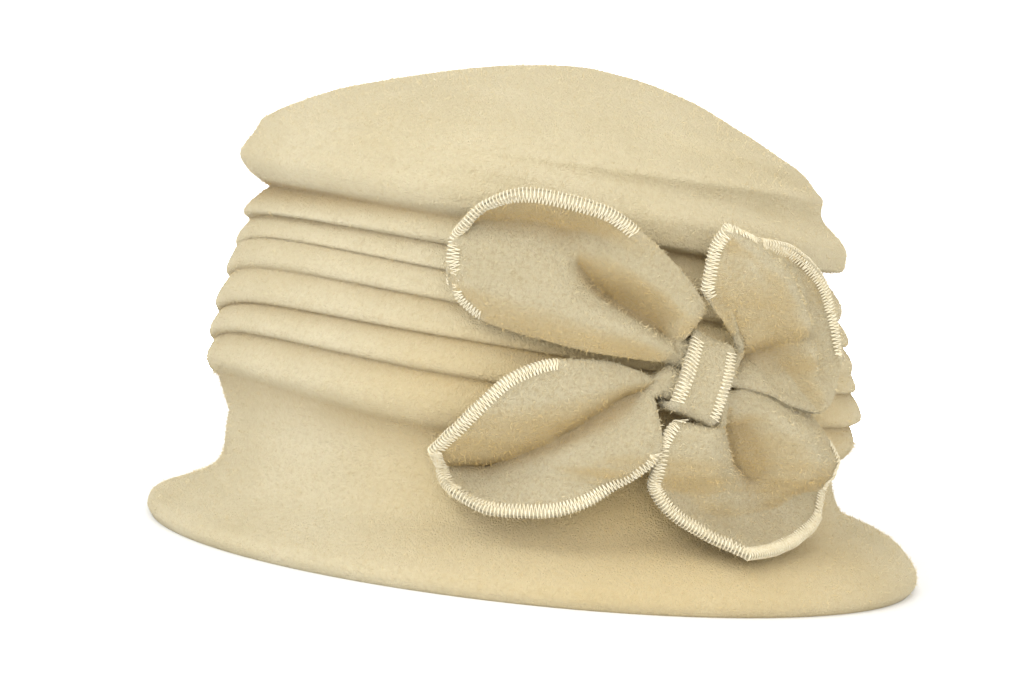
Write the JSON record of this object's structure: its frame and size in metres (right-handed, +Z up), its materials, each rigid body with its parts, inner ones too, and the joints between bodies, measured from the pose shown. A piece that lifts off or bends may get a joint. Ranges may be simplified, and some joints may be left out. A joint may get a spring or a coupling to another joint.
{
  "type": "cloche hat",
  "caption": "Soft felt cloche hat with a rounded crown, horizontal tucks round the side, a short flared brim and a lobed felt bow on one side.",
  "frame": {"origin": "centre of the bounding box's bottom face, on the plane the hem rests on", "axes": "+Z up through the crown, -Y the way the wearer faces, +X the wearer's left, where the bow is"},
  "size_m": [0.2258, 0.237, 0.1455],
  "materials": {
    "hat_felt": "cream boiled wool felt, napped",
    "bow_felt": "cream boiled wool felt with serged edges",
    "band_felt": "cream boiled wool felt with serged edges"
  },
  "bodies": {
    "root": {"hat_body": "hat_felt", "bow_strip_upper": "bow_felt", "bow_strip_lower": "bow_felt", "bow_band": "band_felt"}
  },
  "joints": []
}
